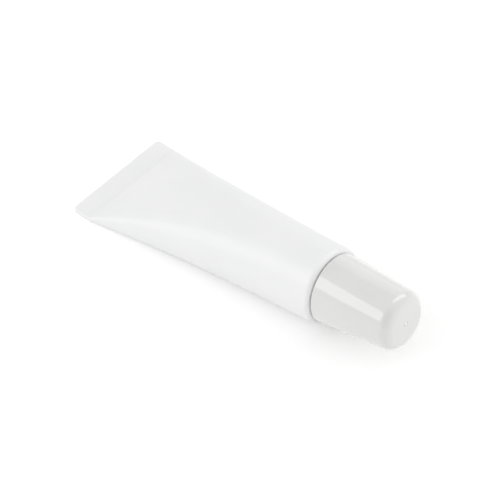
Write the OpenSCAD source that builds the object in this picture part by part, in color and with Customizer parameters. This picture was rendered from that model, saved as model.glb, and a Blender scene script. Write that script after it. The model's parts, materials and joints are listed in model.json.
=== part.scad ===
// Squeeze tube for lip balm, lying on its side on a flat surface.
// An extruded sleeve, pressed flat and heat-sealed at the tail, is welded to a moulded head with
// a slanted applicator. A double-walled screw cap covers the applicator. +X runs to the cap.

/* [Sleeve] */
// Outer diameter of the sleeve where it is round
tube_d = 16; // [15:0.5:25]
// Length of the sleeve from the sealed tail to the shoulder
sleeve_len = 58; // [45:1:110]
// Thickness of the sleeve's wall
sleeve_wall = 0.45; // [0.3:0.05:0.7]
// Length of the flat heat-sealed band at the tail
seal_len = 4.5; // [3:0.5:9]
// Radius of the two rounded corners of the sealed band
seal_corner_r = 0.9; // [0.5:0.1:2.8]
// How much the hot jaws spread the sealed band beyond half the sleeve's girth
seal_spread = 1; // [0:0.1:2]
// Length that stays fully round below the head's rim
round_run = 1; // [0.5:0.5:10]
// How full the upper side is: 1 is a straight wedge, more is rounder
fullness = 2.4; // [1:0.1:2.6]
// Radius of the sleeve's edge where it turns in over the shoulder
lip_r = 1; // [0.85:0.05:1.5]

/* [Head] */
// Outer diameter of the neck at the root of its thread
neck_d = 8.2; // [7.4:0.1:8.6]
// Length of the threaded neck above the shoulder
neck_len = 5.6; // [4:0.1:10]
// Wall of the neck
neck_wall = 1.1; // [0.8:0.1:1.5]
// Height that the shoulder rises from the sleeve's edge to the neck
shoulder_rise = 0.8; // [0.3:0.1:1.6]
// Thickness of the shoulder and of its rim inside the sleeve
shoulder_t = 1; // [0.7:0.1:1.5]
// Length of the rim that is welded inside the sleeve
weld_len = 3; // [2:0.1:6]
// Diameter of the applicator at its foot
tip_d = 6.4; // [5:0.1:6.8]
// Length of the applicator above the neck
tip_len = 5.2; // [4.8:0.1:10]
// Slope of the applicator's slanted face
tip_slant = 34; // [0:1:36]
// Bore of the channel through the applicator
channel_d = 2.2; // [1.2:0.1:3]

/* [Cap] */
// Step between the sleeve's outline and the cap's rim
cap_step = 0.75; // [0.3:0.05:1]
// How much the cap's radius narrows from its rim to its end
cap_taper = 1.2; // [0.3:0.05:1.4]
// Wall of the cap's outer skirt
cap_wall = 0.95; // [0.7:0.05:1.2]
// Thickness of the cap's closed end
cap_roof = 1.4; // [1:0.1:2.5]
// Rounding of the cap's end edge
cap_edge_r = 2.3; // [0.5:0.1:2.6]
// Wall of the inner sleeve that screws on to the neck
thread_sleeve_wall = 0.65; // [0.5:0.05:0.9]
// Width of the gate mark in the middle of the cap's end
gate_d = 1.1; // [0.6:0.1:2]
// Depth of the gate mark
gate_depth = 0.35; // [0.1:0.05:0.6]

/* [Clearances] */
// Open line between the cap's rim and the sleeve's edge
rim_gap = 0.3; // [0.2:0.05:0.8]
// Room between the neck's root and the cap's inner sleeve, which the threads fill
thread_room = 0.75; // [0.5:0.05:0.9]
// Free height between the applicator and the inside of the cap's end
tip_room = 4.8; // [0.5:0.1:8]
// Weld line between the head and the sleeve
weld_gap = 0.05; // [0.03:0.01:0.15]
// Film between the balm and the walls around it
fill_gap = 0.1; // [0.05:0.01:0.25]

/* [Hidden] */
$fn = 96;

// Points round each cross-section of the sleeve, and stations along it
section_points = 56;
outer_stations = 16;
inner_stations = 12;
round_steps = 5;
flat_share = cos(180 / section_points);

// The sealed band is two walls thick
tube_r = tube_d / 2;
seal_half_t = sleeve_wall;

// The body runs along the tube's axis from the crease of the seal to the shoulder. Its underside
// lies flat on the surface, which tilts the axis up towards the cap.
body_len = sleeve_len - seal_len;
loft_len = body_len - weld_len - round_run;
tilt = atan2(tube_r - seal_half_t, loft_len);
axis_z = seal_half_t * cos(tilt);
cavity_start = 0.035;
fill_start = cavity_start + fill_gap / loft_len;

// Head, from the inside out
plug_r = tube_r - sleeve_wall - weld_gap;
plug_bore_r = plug_r - shoulder_t;
shoulder_hole_r = tube_r - lip_r - weld_gap;
neck_r = neck_d / 2;
neck_bore_r = neck_r - neck_wall;
neck_top = shoulder_rise + neck_len;
tip_r = tip_d / 2;
tip_draft = 0.3;
tip_top_r = tip_r - tip_draft;
tip_top = neck_top + tip_len;
neck_chamfer = min(0.4, neck_r - tip_r);
channel_r = channel_d / 2;

// Cap, measured from the sleeve's edge
cap_r = tube_r - cap_step;
cap_inside = tip_top + tip_room;
cap_top = cap_inside + cap_roof;
cap_draft = atan2(cap_taper, cap_top - rim_gap);
edge_z = cap_top - cap_edge_r;
edge_r = cap_outline_r(edge_z) - cap_edge_r / cos(cap_draft);
thread_bore_r = neck_r + thread_room;
tip_bore_r = tip_r + thread_room;
thread_rim_z = shoulder_rise + rim_gap;
gate_r = gate_d / 2;

// The origin is under the middle of the lying tube
cap_reach = edge_z * cos(tilt) + edge_r * sin(tilt) + cap_edge_r;
length_over_all = seal_len + body_len * cos(tilt) + cap_reach;

// Half-height of the upper and lower side of the sleeve at a share u of the loft
function upper(u) = seal_half_t + (tube_r - seal_half_t) * (1 - pow(1 - u, fullness));
function lower(u) = seal_half_t + (tube_r - seal_half_t) * u;

// Half-width at u: the sleeve keeps the girth of the round tube, apart from the spread of the heat
// seal, which fades out towards the round end
function spread(u) = seal_spread / 2 * pow(1 - u, 2);
function half_w(u) = PI * tube_r / 2 - (PI - 2) / 4 * (upper(u) + lower(u)) + spread(u);

// One cross-section at x, w wide, with its corners as round as its height and its flats at up and low
function section(x, w, up, low) = [
    for (i = [0 : section_points - 1])
        let (a = 360 * (i + 0.5) / section_points, h = sin(a) < 0 ? low : up)
            [x, sign(cos(a)) * (w - h) + h * cos(a) / flat_share, h * sin(a) / flat_share]
];
function ring(x, r) = section(x, r, r, r);
function loft_section(u, inset) =
    section(u * loft_len, half_w(u) - inset, upper(u) - inset, lower(u) - inset);
function shares(from, steps) = [for (i = [0 : steps]) from + (1 - from) * i / steps];

// Sections of the sealed band, which lies flat and has its two outer corners rounded
function seal_section(x, w) =
    [for (p = section(x, w, seal_half_t, seal_half_t)) p + [0, 0, seal_half_t]];
function seal_sections() = [
    for (i = [0 : round_steps])
        let (a = 90 * i / round_steps)
            seal_section(seal_corner_r * (1 - cos(a)), half_w(0) - seal_corner_r * (1 - sin(a)))
];

// Puts a section, drawn along +X from the crease of the seal, on the tube's tilted axis
function tilted(points) = [
    for (p = points)
        let (along = p[0] * cos(tilt) - p[2] * sin(tilt), above = p[0] * sin(tilt) + p[2] * cos(tilt))
            [seal_len + along, p[1], axis_z + above]
];

// Rings of the turned-in edge, on a round of radius r about the edge's own centre
function lip_rings(r) = [
    for (i = [0 : round_steps])
        let (a = 90 * i / round_steps)
            ring(body_len - lip_r + r * sin(a), tube_r - lip_r + r * cos(a))
];
function reversed(list) = [for (i = [len(list) - 1 : -1 : 0]) list[i]];

// Radius of the cap's outside at a height above the sleeve's edge
function cap_outline_r(z) = cap_r - cap_taper * (z - rim_gap) / (cap_top - rim_gap);

// Points on an arc between two angles
function arc(centre, r, from, to, steps) = [
    for (i = [0 : steps])
        let (a = from + (to - from) * i / steps)
            centre + r * [cos(a), sin(a)]
];

// Closed skin over a row of rings that have the same number of points
module skin(rings) {
    n = len(rings[0]);
    last = (len(rings) - 1) * n;
    points = [for (r = rings) each r];
    sides = [
        for (i = [0 : len(rings) - 2], j = [0 : n - 1])
            let (a = i * n + j, b = i * n + (j + 1) % n)
                each [[a, a + n, b + n], [a, b + n, b]]
    ];
    start = [for (j = [0 : n - 1]) j];
    end = [for (j = [n - 1 : -1 : 0]) last + j];
    polyhedron(points, concat(sides, [start, end]));
}

// Puts a child, drawn along +X from the sealed tail, with the origin under its middle
module from_tail() {
    translate([-length_over_all / 2, 0, 0])
        children();
}

// Puts a child, drawn upwards from the sleeve's edge, on the end of the tube
module on_shoulder() {
    from_tail()
        translate([seal_len, 0, axis_z])
            rotate([0, 90 - tilt, 0])
                translate([0, 0, body_len])
                    children();
}

// Extruded sleeve: a thin wall that goes from round at the shoulder to flat at the sealed tail
module tube_sleeve() {
    outside = [for (u = shares(0, outer_stations)) loft_section(u, 0)];
    inside = [for (u = shares(cavity_start, inner_stations)) loft_section(u, sleeve_wall)];
    edge = concat(lip_rings(lip_r), reversed(lip_rings(lip_r - sleeve_wall)));
    color("white")
        from_tail()
            skin(concat(
                seal_sections(),
                [for (s = concat(outside, edge, reversed(inside))) tilted(s)]
            ));
}

// Moulded head: rim inside the sleeve, shoulder, neck and slanted applicator in one piece
module tube_head() {
    rim_round = lip_r - sleeve_wall - weld_gap;
    outside = concat(
        [[plug_bore_r, -weld_len], [plug_r, -weld_len]],
        arc([tube_r - lip_r, -lip_r], rim_round, 0, 90, round_steps),
        [
            [shoulder_hole_r, rim_round - lip_r],
            [shoulder_hole_r, 0],
            [neck_r, shoulder_rise],
            [neck_r, neck_top - neck_chamfer],
            [neck_r - neck_chamfer, neck_top],
            [tip_r, neck_top],
            [tip_top_r, tip_top]
        ]
    );
    inside = [
        [channel_r, tip_top],
        [channel_r, neck_top],
        [neck_bore_r, neck_top - (neck_bore_r - channel_r)],
        [neck_bore_r, shoulder_rise - shoulder_t],
        [plug_bore_r, -lip_r]
    ];
    color("whitesmoke")
        on_shoulder()
            difference() {
                rotate_extrude()
                    polygon(concat(outside, inside));
                translate([tip_top_r, 0, tip_top])
                    rotate([0, -tip_slant, 0])
                        translate([-2 * tip_d, -tip_d, 0])
                            cube([4 * tip_d, 2 * tip_d, 2 * tip_len]);
            }
}

// Balm that fills the sleeve, the neck and the channel up to the slanted face
module balm() {
    body = [for (u = shares(fill_start, inner_stations)) loft_section(u, sleeve_wall + fill_gap)];
    fill_top = (tip_top - tip_top_r * tan(tip_slant)) - channel_r * tan(tip_slant) - fill_gap;
    plug_fill_r = plug_bore_r - fill_gap;
    neck_fill_r = neck_bore_r - fill_gap;
    channel_fill_r = channel_r - fill_gap;
    neck_fill_top = neck_top - (neck_bore_r - channel_r) - fill_gap;
    head = [
        [-weld_len - fill_gap, tube_r - sleeve_wall - fill_gap],
        [-weld_len - fill_gap, plug_fill_r],
        [-lip_r - fill_gap, plug_fill_r],
        [shoulder_rise - shoulder_t - fill_gap, neck_fill_r],
        [neck_fill_top, neck_fill_r],
        [neck_fill_top + neck_fill_r - channel_fill_r, channel_fill_r],
        [fill_top, channel_fill_r]
    ];
    color("ivory")
        from_tail()
            skin([for (s = concat(body, [for (p = head) ring(body_len + p[0], p[1])])) tilted(s)]);
}

// Half-section of the cap's skirt and closed end, with the gate mark in its middle
module skirt_profile() {
    polygon(concat(
        [[cap_r, rim_gap]],
        arc([edge_r, edge_z], cap_edge_r, cap_draft, 90, 2 * round_steps),
        [
            [gate_r, cap_top],
            [gate_r / 2, cap_top - gate_depth],
            [0, cap_top - gate_depth],
            [0, cap_inside],
            [cap_outline_r(cap_inside) - cap_wall, cap_inside],
            [cap_r - cap_wall, rim_gap]
        ]
    ));
}

// Half-section of the cap's inner sleeve: wide over the thread, narrower round the applicator
module thread_sleeve_profile() {
    thread_top = neck_top + rim_gap;
    narrow_z = thread_top + thread_bore_r - tip_bore_r;
    root_z = cap_inside + cap_roof / 2;
    polygon([
        [tip_bore_r, root_z],
        [tip_bore_r, narrow_z],
        [thread_bore_r, thread_top],
        [thread_bore_r, thread_rim_z],
        [thread_bore_r + thread_sleeve_wall, thread_rim_z],
        [thread_bore_r + thread_sleeve_wall, thread_top],
        [tip_bore_r + thread_sleeve_wall, narrow_z],
        [tip_bore_r + thread_sleeve_wall, root_z]
    ]);
}

// Screw cap: a tapered outer skirt and an inner threaded sleeve, joined at the closed end
module cap() {
    color("gainsboro")
        on_shoulder()
            rotate_extrude() {
                skirt_profile();
                thread_sleeve_profile();
            }
}

tube_sleeve();
tube_head();
balm();
cap();
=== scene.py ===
import json
import math

import bmesh
import bpy
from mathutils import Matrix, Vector


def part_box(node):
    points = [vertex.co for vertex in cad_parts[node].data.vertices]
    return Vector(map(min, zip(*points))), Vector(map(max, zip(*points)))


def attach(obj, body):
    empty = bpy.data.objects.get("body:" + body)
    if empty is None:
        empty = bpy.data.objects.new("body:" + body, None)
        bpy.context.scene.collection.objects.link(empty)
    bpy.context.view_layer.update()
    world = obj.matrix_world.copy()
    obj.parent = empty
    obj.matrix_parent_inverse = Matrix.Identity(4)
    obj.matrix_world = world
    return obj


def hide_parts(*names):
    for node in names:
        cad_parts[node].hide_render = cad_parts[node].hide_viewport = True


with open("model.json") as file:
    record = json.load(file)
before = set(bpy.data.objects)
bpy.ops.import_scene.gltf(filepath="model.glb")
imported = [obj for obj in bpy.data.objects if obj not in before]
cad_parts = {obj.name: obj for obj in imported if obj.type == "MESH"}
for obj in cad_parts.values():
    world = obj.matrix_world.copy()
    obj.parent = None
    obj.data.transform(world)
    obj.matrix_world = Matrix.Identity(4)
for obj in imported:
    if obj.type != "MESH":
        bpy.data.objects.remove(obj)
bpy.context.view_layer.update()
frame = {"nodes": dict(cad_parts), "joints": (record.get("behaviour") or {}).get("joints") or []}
bpy.ops.object.select_all(action="DESELECT")


# Sleeve
# A thin white polyethylene tube, extruded round and cut to length. One end is turned in and welded to
# the head's shoulder. The tail is pressed flat by hot jaws, and the girth stays almost the same.
MM = 0.001
tube_r = 8 * MM
sleeve_len = 58 * MM
sleeve_wall = 0.45 * MM
seal_len = 4.5 * MM
seal_corner_r = 0.9 * MM
seal_spread = 1.0 * MM
weld_len = 3 * MM
round_run = 1 * MM
fullness = 2.4
lip_r = 1 * MM
section_points = 96
outer_stations = 40
inner_stations = 12
round_steps = 8
flat_cuts = 8
sleeve_sharp_deg = 40
# Shares of the loft's length: the first section after the crease, and the end of the hollow
near_crease = 0.016
cavity_start = 0.035

tube_axis = Vector(frame["joints"][0]["axis"]).normalized()
tilt = math.asin(tube_axis.z)
tail_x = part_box("tube_sleeve")[0].x
body_len = sleeve_len - seal_len
loft_len = body_len - weld_len - round_run
crease = Vector((tail_x + seal_len, 0, sleeve_wall * math.cos(tilt)))


def upper(u):
    """Height of the sleeve's upper side above the axis, at a share u of the way to the round end."""
    return sleeve_wall + (tube_r - sleeve_wall) * (1 - (1 - u) ** fullness)


def lower(u):
    """Depth of the underside below the axis: straight, because the tube lies on it."""
    return sleeve_wall + (tube_r - sleeve_wall) * u


def half_width(u):
    """Half-width at u: the girth of the round tube, and the little that the jaws spread the tail."""
    spread = seal_spread / 2 * (1 - u) ** 2
    return math.pi * tube_r / 2 - (math.pi - 2) / 4 * (upper(u) + lower(u)) + spread


def start_piece(name):
    """Opens a new piece in edit mode, with nothing in it yet."""
    bpy.ops.object.select_all(action="DESELECT")
    bpy.ops.mesh.primitive_plane_add(size=MM)
    bpy.context.object.name = name
    bpy.context.object.data.name = name
    bpy.ops.object.mode_set(mode="EDIT")
    bpy.ops.mesh.delete(type="VERT")
    return bpy.context.object


def add_section(x, width, up, low, z=0.0):
    """Adds a cross-section at x: a circle whose quarters are sized and drawn apart into an oval."""
    half_step = math.pi / section_points
    across_x = (math.pi / 2, half_step, math.pi / 2)
    bpy.ops.mesh.primitive_circle_add(
        vertices=section_points, radius=tube_r, location=(x, 0, z), rotation=across_x)
    shape = bmesh.from_edit_mesh(bpy.context.object.data)
    ring = [v for v in shape.verts if v.select]
    for side in (1, -1):
        for height, face in ((up, 1), (low, -1)):
            for v in ring:
                v.select = v.co.y * side > 0 and (v.co.z - z) * face > 0
            shape.select_flush_mode()
            share = height / tube_r
            bpy.ops.transform.resize(value=(1, share, share), center_override=(x, 0, z))
            bpy.ops.transform.translate(value=(0, side * (width - height), 0))


def select_sections(*numbers):
    """Selects the points of whole cross-sections by their number, in the order they were added."""
    bpy.ops.mesh.select_all(action="DESELECT")
    shape = bmesh.from_edit_mesh(bpy.context.object.data)
    shape.verts.ensure_lookup_table()
    for number in numbers:
        for v in shape.verts[number * section_points:(number + 1) * section_points]:
            v.select = True
    shape.select_flush_mode()


def skin_sections(first, last):
    """Bridges each cross-section to the next."""
    for number in range(first, last):
        select_sections(number, number + 1)
        bpy.ops.mesh.bridge_edge_loops()


def seat(piece, turn, place):
    """Turns a piece about Y, moves it to its place on the tube and keeps both in its mesh."""
    bpy.ops.object.mode_set(mode="OBJECT")
    piece.rotation_euler = (0, turn, 0)
    piece.location = place
    bpy.ops.object.transform_apply(location=True, rotation=True, scale=True)


sleeve = start_piece("sleeve")
outer_shares = [0, near_crease] + [i / outer_stations for i in range(1, outer_stations + 1)]
inner_shares = [1 - (1 - cavity_start) * i / inner_stations for i in range(inner_stations + 1)]
quarter_angles = [math.pi / 2 * i / round_steps for i in range(round_steps + 1)]
for u in outer_shares:
    add_section(u * loft_len, half_width(u), upper(u), lower(u))
for a in quarter_angles:
    r = tube_r - lip_r + lip_r * math.cos(a)
    add_section(body_len - lip_r + lip_r * math.sin(a), r, r, r)
for a in reversed(quarter_angles):
    r = tube_r - lip_r + (lip_r - sleeve_wall) * math.cos(a)
    add_section(body_len - lip_r + (lip_r - sleeve_wall) * math.sin(a), r, r, r)
for u in inner_shares:
    add_section(
        u * loft_len, half_width(u) - sleeve_wall, upper(u) - sleeve_wall, lower(u) - sleeve_wall)
body_sections = len(outer_shares) + 2 * len(quarter_angles) + len(inner_shares)
skin_sections(0, body_sections - 1)
select_sections(body_sections - 1)
bpy.ops.mesh.edge_face_add()
seat(sleeve, -tilt, crease)

# The sealed band lies flat. The jaws leave a shallow line along the crease, and the trimmed tail has
# a blunt edge and two rounded corners.
jaw_line_width = 1.1 * MM
jaw_line_depth = 0.09 * MM
tail_blunt = 0.16 * MM
# How far from the crease and how deep, as shares of the line's width and depth
jaw_line = [(0.35, 1), (0.65, 0.6), (1, 0), (1.3, 0)]
bpy.ops.object.mode_set(mode="EDIT")
for share, pressed in jaw_line:
    add_section(
        crease.x - share * jaw_line_width, half_width(0),
        sleeve_wall - pressed * jaw_line_depth, sleeve_wall, sleeve_wall)
for a in reversed(quarter_angles):
    inset = seal_corner_r * (1 - math.cos(a))
    blunt = max(0, tail_blunt - inset) ** 2 / tail_blunt
    add_section(
        tail_x + inset, half_width(0) - seal_corner_r * (1 - math.sin(a)),
        sleeve_wall - blunt, sleeve_wall - blunt, sleeve_wall)
band_sections = len(quarter_angles) + len(jaw_line)
skin_sections(body_sections, body_sections + band_sections - 1)
select_sections(0, body_sections)
bpy.ops.mesh.bridge_edge_loops()
select_sections(body_sections + band_sections - 1)
bpy.ops.mesh.edge_face_add()

# The flats are one face wide so far; cuts across them keep the shading true
bpy.ops.mesh.select_all(action="DESELECT")
bpy.ops.mesh.select_mode(type="EDGE")
shape = bmesh.from_edit_mesh(sleeve.data)
for edge in shape.edges:
    edge.select_set(edge.verts[0].co.y * edge.verts[1].co.y < 0)
bpy.ops.mesh.subdivide(number_cuts=flat_cuts)
bpy.ops.mesh.select_mode(type="VERT")
bpy.ops.mesh.select_all(action="SELECT")
bpy.ops.mesh.normals_make_consistent(inside=False)
bpy.ops.object.mode_set(mode="OBJECT")
bpy.ops.object.shade_smooth_by_angle(angle=math.radians(sleeve_sharp_deg))


def plastic_surface():
    """Shared surface of plastics and balm: a cloudy tone, fine scuffs and a faint orange peel."""
    group = bpy.data.node_groups.new("plastic_surface", "ShaderNodeTree")
    group.interface.new_socket("Vector", in_out="INPUT", socket_type="NodeSocketVector")
    for name in ("Cloud Scale", "Scuff Scale", "Peel Scale"):
        group.interface.new_socket(name, in_out="INPUT", socket_type="NodeSocketFloat")
    for name in ("Cloud", "Scuff", "Peel"):
        group.interface.new_socket(name, in_out="OUTPUT", socket_type="NodeSocketFloat")
    nodes, links = group.nodes, group.links
    entry = nodes.new("NodeGroupInput")
    leave = nodes.new("NodeGroupOutput")
    for name, detail in (("Cloud", 2.0), ("Scuff", 5.0), ("Peel", 1.0)):
        noise = nodes.new("ShaderNodeTexNoise")
        noise.inputs["Detail"].default_value = detail
        links.new(entry.outputs["Vector"], noise.inputs["Vector"])
        links.new(entry.outputs[name + " Scale"], noise.inputs["Scale"])
        links.new(noise.outputs["Fac"], leave.inputs[name])
    return group


surface_group = plastic_surface()


# Most of a noise texture's values lie between these
noise_low = 0.3
noise_high = 0.7


def start_material(name, cloud_scale, peel_scale, scuff_scale=0):
    """A new material with the shared surface, on Object coordinates leaned along the tube."""
    material = bpy.data.materials.new(name)
    material.use_nodes = True
    nodes, links = material.node_tree.nodes, material.node_tree.links
    place = nodes.new("ShaderNodeTexCoord")
    lean = nodes.new("ShaderNodeMapping")
    lean.name = "lean"
    lean.inputs["Rotation"].default_value = (0, tilt, 0)
    links.new(place.outputs["Object"], lean.inputs["Vector"])
    surface = nodes.new("ShaderNodeGroup")
    surface.name = "surface"
    surface.node_tree = surface_group
    surface.inputs["Cloud Scale"].default_value = cloud_scale
    surface.inputs["Peel Scale"].default_value = peel_scale
    surface.inputs["Scuff Scale"].default_value = scuff_scale
    links.new(lean.outputs["Vector"], surface.inputs["Vector"])
    return material


def ramp(nodes, links, source, low, high, target, from_low=0, from_high=1):
    """Spreads a value between two numbers on a socket."""
    spread = nodes.new("ShaderNodeMapRange")
    spread.inputs["From Min"].default_value = from_low
    spread.inputs["From Max"].default_value = from_high
    spread.inputs["To Min"].default_value = low
    spread.inputs["To Max"].default_value = high
    links.new(source, spread.inputs["Value"])
    links.new(spread.outputs["Result"], target)


def tone(nodes, links, source, low, high, target):
    """Spreads a noise between two colours on a socket."""
    mix = nodes.new("ShaderNodeMix")
    mix.data_type = "RGBA"
    mix.inputs["A"].default_value = (*low, 1)
    mix.inputs["B"].default_value = (*high, 1)
    ramp(nodes, links, source, 0, 1, mix.inputs["Factor"], noise_low, noise_high)
    links.new(mix.outputs["Result"], target)


def relief(nodes, links, height, strength, depth):
    """Gives the shader a fine bump from a height."""
    bump = nodes.new("ShaderNodeBump")
    bump.inputs["Strength"].default_value = strength
    bump.inputs["Distance"].default_value = depth
    links.new(height, bump.inputs["Height"])
    links.new(bump.outputs["Normal"], nodes["Principled BSDF"].inputs["Normal"])


def sleeve_material():
    """Satin white polyethylene, with faint lines along the tube from the extruder's die."""
    die_lines_along = 40
    die_lines_across = 1500
    die_lines_share = 0.6
    material = start_material("white_polyethylene", cloud_scale=90, peel_scale=2600)
    nodes, links = material.node_tree.nodes, material.node_tree.links
    shader = nodes["Principled BSDF"]
    surface = nodes["surface"]
    stretch = nodes.new("ShaderNodeMapping")
    stretch.inputs["Scale"].default_value = (die_lines_along, die_lines_across, die_lines_across)
    links.new(nodes["lean"].outputs["Vector"], stretch.inputs["Vector"])
    die_lines = nodes.new("ShaderNodeTexNoise")
    die_lines.inputs["Scale"].default_value = 1
    links.new(stretch.outputs["Vector"], die_lines.inputs["Vector"])
    tone(nodes, links, surface.outputs["Cloud"], (0.838, 0.842, 0.842), (0.862, 0.864, 0.862),
         shader.inputs["Base Color"])
    ramp(nodes, links, surface.outputs["Cloud"], 0.26, 0.38, shader.inputs["Roughness"])
    height = nodes.new("ShaderNodeMath")
    height.operation = "MULTIPLY_ADD"
    height.inputs[1].default_value = die_lines_share
    links.new(die_lines.outputs["Fac"], height.inputs[0])
    links.new(surface.outputs["Peel"], height.inputs[2])
    relief(nodes, links, height.outputs["Value"], strength=0.25, depth=0.015 * MM)
    shader.inputs["IOR"].default_value = 1.5
    shader.inputs["Subsurface Weight"].default_value = 0.15
    shader.inputs["Subsurface Radius"].default_value = (1.0, 0.95, 0.9)
    shader.inputs["Subsurface Scale"].default_value = 0.5 * MM
    return material


sleeve.data.materials.append(sleeve_material())
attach(sleeve, "tube")
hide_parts("tube_sleeve")


# Head
# One moulding of soft white polyethylene: a rim that is welded inside the sleeve, a low shoulder,
# a threaded neck, and a slanted applicator with the balm's channel in its middle.
neck_r = 4.1 * MM
neck_len = 5.6 * MM
neck_wall = 1.1 * MM
shoulder_rise = 0.8 * MM
shoulder_t = 1.0 * MM
weld_gap = 0.05 * MM
tip_r = 3.2 * MM
tip_draft = 0.3 * MM
tip_len = 5.2 * MM
tip_slant = math.radians(34)
tip_trim = 0.3 * MM
channel_r = 1.1 * MM
neck_chamfer = 0.4 * MM
tip_edge_r = 0.5 * MM
thread_pitch = 1.6 * MM
thread_height = 0.55 * MM
thread_foot = 0.9 * MM
thread_crest = 0.4 * MM
thread_buried = 0.1 * MM
thread_start = 0.9 * MM
neck_turns = 2
turn_steps = 96
run_out_steps = 10
tip_edge_steps = 5
ring_step = 0.2 * MM
touch = 0.001 * MM
moulding_sharp_deg = 35

plug_r = tube_r - sleeve_wall - weld_gap
plug_bore_r = plug_r - shoulder_t
shoulder_hole_r = tube_r - lip_r - weld_gap
neck_bore_r = neck_r - neck_wall
neck_top = shoulder_rise + neck_len
tip_top = neck_top + tip_len
tip_top_r = tip_r - tip_draft
thread_z = shoulder_rise + thread_start
sleeve_edge = crease + tube_axis * body_len
along_tube = math.pi / 2 - tilt


def arc(centre, r, start, end, steps):
    """Points on an arc of a profile, with angles in degrees from straight out."""
    angles = [math.radians(start + (end - start) * i / steps) for i in range(steps + 1)]
    return [(centre[0] + r * math.cos(a), centre[1] + r * math.sin(a)) for a in angles]


def draw_profile(points):
    """Draws a half-section of (radius, height) points, one extruded edge after another."""
    bpy.ops.mesh.primitive_plane_add(size=MM)
    bpy.ops.mesh.merge(type="CENTER")
    bpy.ops.transform.translate(value=(points[0][0], 0, points[0][1]))
    for (r0, z0), (r1, z1) in zip(points, points[1:]):
        bpy.ops.mesh.extrude_region_move(TRANSFORM_OT_translate={"value": (r1 - r0, 0, z1 - z0)})


def turn_profile():
    """Spins the profile once about the axis and closes the seam."""
    bpy.ops.mesh.select_all(action="SELECT")
    bpy.ops.mesh.spin(steps=turn_steps, angle=2 * math.pi, center=(0, 0, 0), axis=(0, 0, 1))
    bpy.ops.mesh.select_all(action="SELECT")
    bpy.ops.mesh.remove_doubles(threshold=touch)
    bpy.ops.mesh.normals_make_consistent(inside=False)


def add_thread(piece, root_r, inwards, z, turns):
    """Winds a helical ridge from a small profile and joins it to the piece that carries it."""
    ridge = start_piece("thread")
    side = -1 if inwards else 1
    flank = (thread_foot - thread_crest) / 2
    foot_r = root_r - side * thread_buried
    crest_r = root_r + side * thread_height
    draw_profile([
        (foot_r, z),
        (crest_r, z + flank),
        (crest_r, z + flank + thread_crest),
        (foot_r, z + thread_foot),
        (foot_r, z),
    ])
    bpy.ops.mesh.select_all(action="SELECT")
    bpy.ops.mesh.remove_doubles(threshold=touch)
    bpy.ops.object.mode_set(mode="OBJECT")
    corners = len(ridge.data.vertices)
    helix_steps = int(turns * turn_steps)
    helix = ridge.modifiers.new("helix", "SCREW")
    helix.angle = turns * 2 * math.pi
    helix.screw_offset = turns * thread_pitch
    helix.steps = helix_steps
    helix.render_steps = helix_steps
    bpy.ops.object.modifier_apply(modifier=helix.name)
    bpy.ops.object.mode_set(mode="EDIT")
    # Both ends run out into the wall, over a few steps of the helix
    shape = bmesh.from_edit_mesh(ridge.data)
    for v in shape.verts:
        step = v.index // corners
        share = min(1, step / run_out_steps, (helix_steps - step) / run_out_steps)
        v.co.xy = v.co.xy.normalized() * (foot_r + (v.co.xy.length - foot_r) * share)
    bpy.ops.mesh.select_all(action="SELECT")
    bpy.ops.mesh.fill_holes(sides=0)
    bpy.ops.mesh.normals_make_consistent(inside=False)
    bpy.ops.object.mode_set(mode="OBJECT")
    piece.select_set(True)
    bpy.context.view_layer.objects.active = piece
    bpy.ops.object.join()


head = start_piece("head")
rim_round = lip_r - sleeve_wall - weld_gap
draw_profile(
    [(plug_bore_r, -weld_len), (plug_r, -weld_len)]
    + arc((tube_r - lip_r, -lip_r), rim_round, 0, 90, round_steps)
    + [
        (shoulder_hole_r, rim_round - lip_r),
        (shoulder_hole_r, 0),
        (neck_r, shoulder_rise),
        (neck_r, neck_top - neck_chamfer),
        (neck_r - neck_chamfer, neck_top),
        (tip_r, neck_top),
        (tip_top_r - tip_draft * tip_trim / tip_len, tip_top + tip_trim),
        (channel_r, tip_top + tip_trim),
        (channel_r, neck_top),
        (neck_bore_r, neck_top - (neck_bore_r - channel_r)),
        (neck_bore_r, shoulder_rise - shoulder_t),
        (plug_bore_r, -lip_r),
        (plug_bore_r, -weld_len),
    ])
turn_profile()
slant_foot = Vector((tip_top_r, 0, tip_top))
slant_normal = Vector((-math.sin(tip_slant), 0, math.cos(tip_slant)))
bpy.ops.mesh.select_all(action="SELECT")
bpy.ops.mesh.bisect(plane_co=slant_foot, plane_no=slant_normal, clear_outer=True)
bpy.ops.mesh.bridge_edge_loops()

# The rim and the mouth of the slanted face are rounded, so that it is soft on the lips
bpy.ops.mesh.select_mode(type="EDGE")
bpy.ops.mesh.select_all(action="DESELECT")
shape = bmesh.from_edit_mesh(head.data)
for edge in shape.edges:
    on_slant = all(abs((v.co - slant_foot).dot(slant_normal)) < touch for v in edge.verts)
    turned_r = [v.co.xy.length for v in edge.verts]
    edge.select_set(on_slant and abs(turned_r[0] - turned_r[1]) < ring_step)
bpy.ops.mesh.bevel(offset=tip_edge_r, segments=tip_edge_steps, affect="EDGES", clamp_overlap=True)
bpy.ops.mesh.select_mode(type="VERT")
bpy.ops.mesh.select_all(action="SELECT")
bpy.ops.mesh.normals_make_consistent(inside=False)
bpy.ops.object.mode_set(mode="OBJECT")
add_thread(head, neck_r, inwards=False, z=thread_z, turns=neck_turns)
seat(head, along_tube, sleeve_edge)
bpy.ops.object.shade_smooth_by_angle(angle=math.radians(moulding_sharp_deg))


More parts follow.
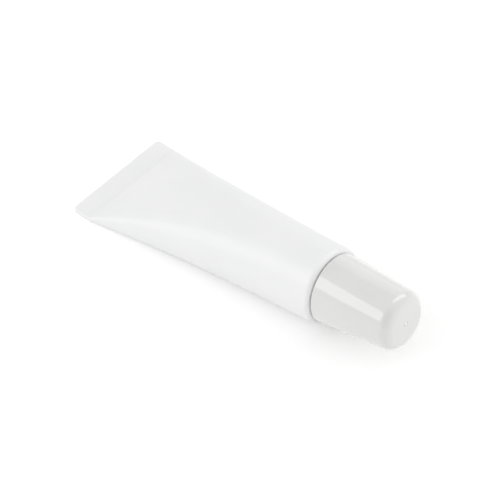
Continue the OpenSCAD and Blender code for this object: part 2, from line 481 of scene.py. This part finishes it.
def head_material():
    """Natural white polyethylene, a little see-through and satin from the mould."""
    material = start_material("natural_polyethylene", cloud_scale=160, peel_scale=3200, scuff_scale=900)
    nodes, links = material.node_tree.nodes, material.node_tree.links
    shader = nodes["Principled BSDF"]
    surface = nodes["surface"]
    tone(nodes, links, surface.outputs["Cloud"], (0.80, 0.80, 0.78), (0.84, 0.84, 0.82),
         shader.inputs["Base Color"])
    ramp(nodes, links, surface.outputs["Scuff"], 0.25, 0.43, shader.inputs["Roughness"])
    relief(nodes, links, surface.outputs["Peel"], strength=0.2, depth=0.01 * MM)
    shader.inputs["IOR"].default_value = 1.5
    shader.inputs["Subsurface Weight"].default_value = 0.3
    shader.inputs["Subsurface Radius"].default_value = (1.0, 0.95, 0.85)
    shader.inputs["Subsurface Scale"].default_value = 0.8 * MM
    return material


head.data.materials.append(head_material())
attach(head, "tube")
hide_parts("tube_head")


# Balm
# The soft, waxy fill. It takes the shape of the sleeve's inside, the neck and the channel, and
# shows only in the mouth of the applicator.
def balm_material():
    """Pale ivory wax, soft and a little see-through."""
    material = start_material("ivory_balm", cloud_scale=400, peel_scale=2500, scuff_scale=1500)
    nodes, links = material.node_tree.nodes, material.node_tree.links
    shader = nodes["Principled BSDF"]
    surface = nodes["surface"]
    tone(nodes, links, surface.outputs["Cloud"], (0.80, 0.74, 0.58), (0.86, 0.81, 0.67),
         shader.inputs["Base Color"])
    ramp(nodes, links, surface.outputs["Scuff"], 0.25, 0.55, shader.inputs["Roughness"])
    relief(nodes, links, surface.outputs["Peel"], strength=0.4, depth=0.03 * MM)
    shader.inputs["IOR"].default_value = 1.45
    shader.inputs["Subsurface Weight"].default_value = 0.4
    shader.inputs["Subsurface Radius"].default_value = (1.0, 0.9, 0.7)
    shader.inputs["Subsurface Scale"].default_value = 1.0 * MM
    return material


balm = frame["nodes"]["balm"]
balm.data.materials.clear()
balm.data.materials.append(balm_material())


# Cap
# One glossy moulding of pale grey polypropylene: a tapered skirt and an inner sleeve with the thread,
# joined at the closed end. The mould's gate leaves a nub in a shallow pit in its middle, with a
# highlight painted on it.
cap_step = 0.75 * MM
cap_taper = 1.2 * MM
cap_wall = 0.95 * MM
cap_roof = 1.4 * MM
cap_edge_r = 2.3 * MM
inner_wall = 0.65 * MM
gate_r = 0.55 * MM
pit_depth = 0.1 * MM
nub_r = 0.54 * MM
nub_edge_deg = 39
# Radius of the highlight painted on the gate's nub
gate_highlight_r = 0.5 * MM
rim_gap = 0.3 * MM
rim_edge_r = 0.12 * MM
thread_room = 0.75 * MM
tip_room = 4.8 * MM
cap_turns = 1.75
rim_edge_steps = 4

cap_r = tube_r - cap_step
cap_inside = tip_top + tip_room
cap_top = cap_inside + cap_roof
cap_len = cap_top - rim_gap
draft_deg = math.degrees(math.atan2(cap_taper, cap_len))
thread_bore_r = neck_r + thread_room
tip_bore_r = tip_r + thread_room
thread_rim_z = shoulder_rise + rim_gap
thread_top = neck_top + rim_gap
narrow_z = thread_top + thread_bore_r - tip_bore_r


def cap_outline_r(z):
    """Radius of the cap's outside at a height above the sleeve's edge."""
    return cap_r - cap_taper * (z - rim_gap) / cap_len


edge_z = cap_top - cap_edge_r
edge_centre_r = cap_outline_r(edge_z) - cap_edge_r / math.cos(math.radians(draft_deg))
nub_z = cap_top - pit_depth - nub_r * math.sin(math.radians(nub_edge_deg))
gate_place = sleeve_edge + tube_axis * cap_top

cap = start_piece("cap")
draw_profile(
    [
        (0, cap_inside),
        (tip_bore_r, cap_inside),
        (tip_bore_r, narrow_z),
        (thread_bore_r, thread_top),
        (thread_bore_r, thread_rim_z),
        (thread_bore_r + inner_wall, thread_rim_z),
        (thread_bore_r + inner_wall, thread_top),
        (tip_bore_r + inner_wall, narrow_z),
        (tip_bore_r + inner_wall, cap_inside),
        (cap_outline_r(cap_inside) - cap_wall, cap_inside),
        (cap_r - cap_wall, rim_gap),
    ]
    + arc((cap_r - rim_edge_r, rim_gap + rim_edge_r), rim_edge_r, -90, draft_deg, rim_edge_steps)
    + arc((edge_centre_r, edge_z), cap_edge_r, draft_deg, 90, 2 * round_steps)
    + [
        (gate_r, cap_top),
        (gate_r - pit_depth / 2, cap_top - pit_depth),
    ]
    + arc((0, nub_z), nub_r, nub_edge_deg, 90, round_steps))
turn_profile()
bpy.ops.object.mode_set(mode="OBJECT")
add_thread(cap, thread_bore_r, inwards=True, z=thread_z + thread_pitch / 2, turns=cap_turns)
seat(cap, along_tube, sleeve_edge)
bpy.ops.object.shade_smooth_by_angle(angle=math.radians(moulding_sharp_deg))


def cap_material():
    """Glossy pale grey polypropylene, slightly wavy from the mould, with a painted highlight on the
    gate.
    """
    material = start_material("grey_polypropylene", cloud_scale=120, peel_scale=260, scuff_scale=700)
    nodes, links = material.node_tree.nodes, material.node_tree.links
    shader = nodes["Principled BSDF"]
    surface = nodes["surface"]
    # Painted highlight: the base colour turns near white on the gate's nub, and fades back to the grey
    # tone between a quarter and half a millimetre from the gate.
    gate_highlight_paint = nodes.new("ShaderNodeMix")
    gate_highlight_paint.data_type = "RGBA"
    gate_highlight_paint.inputs["B"].default_value = (0.93, 0.93, 0.91, 1)
    tone(nodes, links, surface.outputs["Cloud"], (0.7, 0.705, 0.685), (0.725, 0.73, 0.71),
         gate_highlight_paint.inputs["A"])
    place = nodes.new("ShaderNodeTexCoord")
    from_gate = nodes.new("ShaderNodeVectorMath")
    from_gate.operation = "DISTANCE"
    from_gate.inputs[1].default_value = gate_place
    links.new(place.outputs["Object"], from_gate.inputs[0])
    ramp(nodes, links, from_gate.outputs["Value"], 1, 0, gate_highlight_paint.inputs["Factor"],
         gate_highlight_r / 2, gate_highlight_r)
    links.new(gate_highlight_paint.outputs["Result"], shader.inputs["Base Color"])
    ramp(nodes, links, surface.outputs["Scuff"], 0.08, 0.19, shader.inputs["Roughness"])
    relief(nodes, links, surface.outputs["Peel"], strength=0.3, depth=0.05 * MM)
    shader.inputs["IOR"].default_value = 1.5
    shader.inputs["Coat Weight"].default_value = 1
    shader.inputs["Coat Roughness"].default_value = 0.1
    shader.inputs["Subsurface Weight"].default_value = 0.15
    shader.inputs["Subsurface Radius"].default_value = (1.0, 1.0, 0.95)
    shader.inputs["Subsurface Scale"].default_value = 0.6 * MM
    return material


cap.data.materials.append(cap_material())
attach(cap, "cap")
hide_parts("cap")


# Floor
# A white table top, with nothing on it but the tube and its soft shadow.
floor_size = 4
lift_near = 0.16
lift_far = 0.22
lift_grows_from = 0.1
lift_full_at = 0.6

bpy.ops.object.select_all(action="DESELECT")
bpy.ops.mesh.primitive_plane_add(size=floor_size)
floor = bpy.context.object
floor.name = "floor"


def seen_rays(nodes, links):
    """1 for rays from the camera, and for the mirrored and passed ones that follow from them."""
    rays = nodes.new("ShaderNodeLightPath")
    seen = nodes.new("ShaderNodeMath")
    seen.operation = "ADD"
    links.new(rays.outputs["Is Camera Ray"], seen.inputs[0])
    links.new(rays.outputs["Is Glossy Ray"], seen.inputs[1])
    passed = nodes.new("ShaderNodeMath")
    passed.operation = "ADD"
    links.new(seen.outputs["Value"], passed.inputs[0])
    links.new(rays.outputs["Is Transmission Ray"], passed.inputs[1])
    return passed.outputs["Value"]


def floor_material():
    """White card, lifted a little for the camera, and more far off, where the lamps no longer reach."""
    material = bpy.data.materials.new("white_table")
    material.use_nodes = True
    nodes, links = material.node_tree.nodes, material.node_tree.links
    shader = nodes["Principled BSDF"]
    shader.inputs["Base Color"].default_value = (0.94, 0.94, 0.94, 1)
    shader.inputs["Roughness"].default_value = 1
    shader.inputs["Specular IOR Level"].default_value = 0
    shader.inputs["Emission Color"].default_value = (1, 1, 1, 1)
    place = nodes.new("ShaderNodeTexCoord")
    far_off = nodes.new("ShaderNodeVectorMath")
    far_off.operation = "LENGTH"
    links.new(place.outputs["Object"], far_off.inputs[0])
    lift = nodes.new("ShaderNodeMath")
    lift.operation = "MULTIPLY"
    links.new(seen_rays(nodes, links), lift.inputs[0])
    ramp(nodes, links, far_off.outputs["Value"], lift_near, lift_far, lift.inputs[1],
         lift_grows_from, lift_full_at)
    links.new(lift.outputs["Value"], shader.inputs["Emission Strength"])
    return material


floor.data.materials.append(floor_material())


# Light
# A white room, dimmer to gloss on the camera's side, with a soft box at the front left, which draws
# the bright line along the cap, one at the right for the cap's end, and two that show only in gloss.
room_strength = 0.865
dim_azimuth = -50
dim_elevation = 33
dim_most = 0.6
# Cosines of the angles from the dim side's middle at which it starts and is full
dim_start = 0.7
dim_full = 0.95

world = bpy.data.worlds.new("white_room")
world.use_nodes = True
bpy.context.scene.world = world


def direction(azimuth, elevation):
    """Unit vector towards a place in the room, from angles in degrees."""
    a, e = math.radians(azimuth), math.radians(elevation)
    return Vector((math.cos(a) * math.cos(e), math.sin(a) * math.cos(e), math.sin(e)))


def room_light():
    """Even light from all round, plain white to the eye, with a dimmer side that only gloss mirrors."""
    nodes, links = world.node_tree.nodes, world.node_tree.links
    strength = nodes.new("ShaderNodeMix")
    strength.inputs["A"].default_value = room_strength
    strength.inputs["B"].default_value = 1
    links.new(seen_rays(nodes, links), strength.inputs["Factor"])
    place = nodes.new("ShaderNodeTexCoord")
    towards = nodes.new("ShaderNodeVectorMath")
    towards.operation = "DOT_PRODUCT"
    towards.inputs[1].default_value = direction(dim_azimuth, dim_elevation)
    links.new(place.outputs["Generated"], towards.inputs[0])
    rays = nodes.new("ShaderNodeLightPath")
    shade = nodes.new("ShaderNodeMath")
    shade.operation = "MULTIPLY"
    links.new(rays.outputs["Is Glossy Ray"], shade.inputs[0])
    ramp(nodes, links, towards.outputs["Value"], 0, dim_most, shade.inputs[1], dim_start, dim_full)
    rest = nodes.new("ShaderNodeMath")
    rest.operation = "SUBTRACT"
    links.new(strength.outputs["Result"], rest.inputs[0])
    links.new(shade.outputs["Value"], rest.inputs[1])
    background = nodes["Background"]
    background.inputs["Color"].default_value = (1, 1, 1, 1)
    links.new(rest.outputs["Value"], background.inputs["Strength"])


room_light()


def soft_box(name, azimuth, elevation, distance, width, height, radiance):
    """A rectangular lamp that faces the tube from a direction, given in degrees."""
    away = direction(azimuth, elevation)
    lamp = bpy.data.lights.new(name, "AREA")
    lamp.shape = "RECTANGLE"
    lamp.size = width
    lamp.size_y = height
    lamp.energy = radiance * math.pi * width * height
    holder = bpy.data.objects.new(name, lamp)
    bpy.context.scene.collection.objects.link(holder)
    holder.location = away * distance
    holder.rotation_euler = away.to_track_quat("Z", "Y").to_euler()
    return holder


soft_box("soft_box_left", azimuth=-126, elevation=32, distance=0.6, width=0.5, height=0.3, radiance=1.4)
end_light = soft_box(
    "soft_box_right", azimuth=40, elevation=15, distance=0.7, width=0.4, height=0.4, radiance=1.9)
end_light.visible_glossy = False
top_gloss = soft_box(
    "soft_box_top", azimuth=76, elevation=54, distance=0.7, width=0.3, height=0.7, radiance=1.9)
top_gloss.visible_diffuse = False
back_gloss = soft_box(
    "soft_box_back", azimuth=116, elevation=24, distance=0.7, width=0.45, height=0.55, radiance=0.35)
back_gloss.visible_diffuse = False


# Camera
# A long lens that looks down on the tube from the front right.
view_azimuth = -49.1
view_elevation = 47.93
view_distance = 0.5
view_target = Vector((-1.48, -1.39, 6.23)) * MM
image_px = 492
focal_px = 2549
sensor_width = 36
near_clip = 0.01

camera_data = bpy.data.cameras.new("camera")
camera_data.sensor_width = sensor_width
camera_data.lens = sensor_width * focal_px / image_px
camera_data.clip_start = near_clip
camera = bpy.data.objects.new("camera", camera_data)
bpy.context.scene.collection.objects.link(camera)
view_back = direction(view_azimuth, view_elevation)
camera.location = view_target + view_back * view_distance
camera.rotation_euler = view_back.to_track_quat("Z", "Y").to_euler()
bpy.context.scene.camera = camera
bpy.context.scene.view_settings.view_transform = "Standard"
